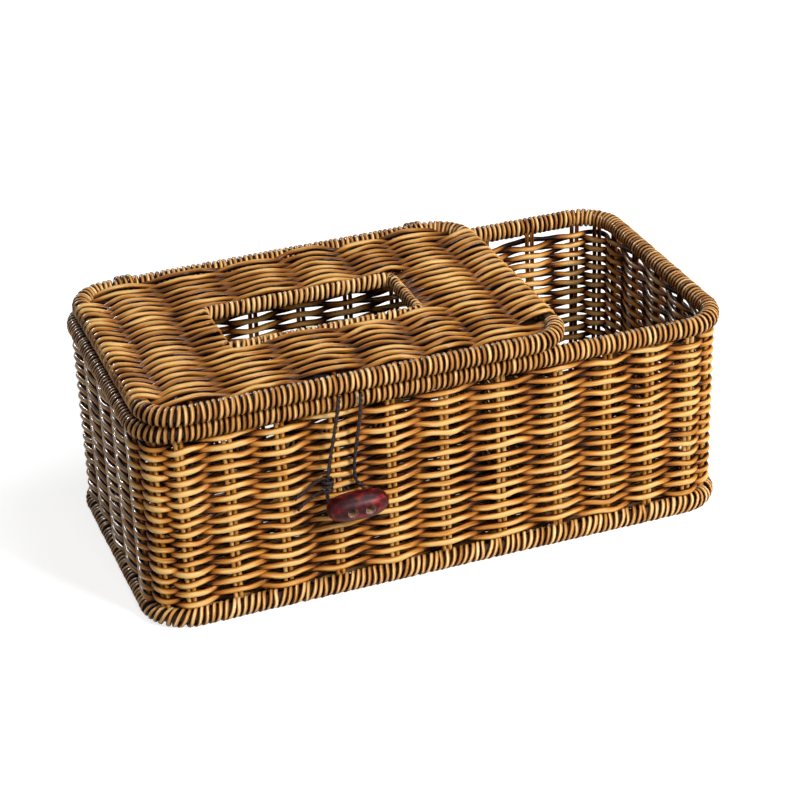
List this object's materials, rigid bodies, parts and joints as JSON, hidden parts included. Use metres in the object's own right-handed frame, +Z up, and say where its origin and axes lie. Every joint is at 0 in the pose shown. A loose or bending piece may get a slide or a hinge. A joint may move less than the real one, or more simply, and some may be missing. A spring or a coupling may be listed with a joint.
{
  "type": "tissue box cover",
  "caption": "Lidded wicker basket that covers a tissue pack: hinged woven lid with a pull slot, toggle and loop closure, and an open storage bay beside it.",
  "frame": {"origin": "middle of the bounding box, on the surface that the basket stands on", "axes": "+X along the length towards the open bay, +Y towards the hinged back, +Z up"},
  "size_m": [0.25, 0.1373, 0.1003],
  "materials": {
    "wall_weave": "varnished golden brown wicker strands with dark brown crevices",
    "rim_binding": "varnished wicker strand bound side by side, pale along its crest",
    "lid_weave": "varnished medium brown wicker strands, satin sheen",
    "inner_weave": "brown wicker strands, satin sheen",
    "rod": "dark brown wicker rods, satin sheen",
    "tie_strand": "dark brown wicker strand",
    "cord": "very dark purple brown twisted cord",
    "toggle_wood": "deep maroon wood, glossy lacquer"
  },
  "bodies": {
    "root": {"base_panel": "inner_weave", "base_rim_binding": "rim_binding", "top_rim_binding": "rim_binding", "divider_weave": "inner_weave", "base_rim_core": "rod", "top_rim_core": "rod", "front_wall_weave": "wall_weave", "back_wall_weave": "wall_weave", "left_wall_weave": "wall_weave", "right_wall_weave": "wall_weave", "corner_weave_front_left": "wall_weave", "corner_weave_front_right": "wall_weave", "corner_weave_back_left": "wall_weave", "corner_weave_back_right": "wall_weave", "stake_front_01": "rod", "stake_front_02": "rod", "stake_front_03": "rod", "stake_front_04": "rod", "stake_front_05": "rod", "stake_front_06": "rod", "stake_front_07": "rod", "stake_front_08": "rod", "stake_front_09": "rod", "stake_front_10": "rod", "stake_front_11": "rod", "stake_back_01": "rod", "stake_back_02": "rod", "stake_back_03": "rod", "stake_back_04": "rod", "stake_back_05": "rod", "stake_back_06": "rod", "stake_back_07": "rod", "stake_back_08": "rod", "stake_back_09": "rod", "stake_back_10": "rod", "stake_back_11": "rod", "stake_left_1": "rod", "stake_left_2": "rod", "stake_left_3": "rod", "stake_left_4": "rod", "stake_left_5": "rod", "stake_right_1": "rod", "stake_right_2": "rod", "stake_right_3": "rod", "stake_right_4": "rod", "stake_right_5": "rod", "stake_corner_front_left": "rod", "stake_corner_front_right": "rod", "stake_corner_back_left": "rod", "stake_corner_back_right": "rod"},
    "lid": {"lid_frame_core": "rod", "lid_rim_binding": "rim_binding", "lid_weave": "lid_weave", "slot_rim_binding": "rim_binding", "hinge_tie_left": "tie_strand", "hinge_tie_right": "tie_strand"},
    "toggle": {"toggle": "toggle_wood", "toggle_cord": "cord"},
    "loop": {"closure_loop": "cord", "loop_knot": "cord"}
  },
  "joints": [
    {"name": "lid_hinge", "type": "hinge", "parent": "root", "child": "lid", "pos_m": [0, 0.0626, 0.086], "axis": [-1, 0, 0], "range_deg": [0, 105]},
    {"name": "toggle_turn", "type": "hinge", "parent": "root", "child": "toggle", "pos_m": [-0.0408, -0.063, 0.0434], "axis": [0, 1, 0], "range_deg": [-90, 90]},
    {"name": "loop_swing", "type": "hinge", "parent": "lid", "child": "loop", "pos_m": [-0.0408, -0.0599, 0.0904], "axis": [1, 0, 0], "range_deg": [0, 105], "deforming": ["closure_loop", "loop_knot"]}
  ],
  "couplings": [
    {"joint": "loop_swing", "follows": "lid_hinge", "ratio": 1}
  ]
}
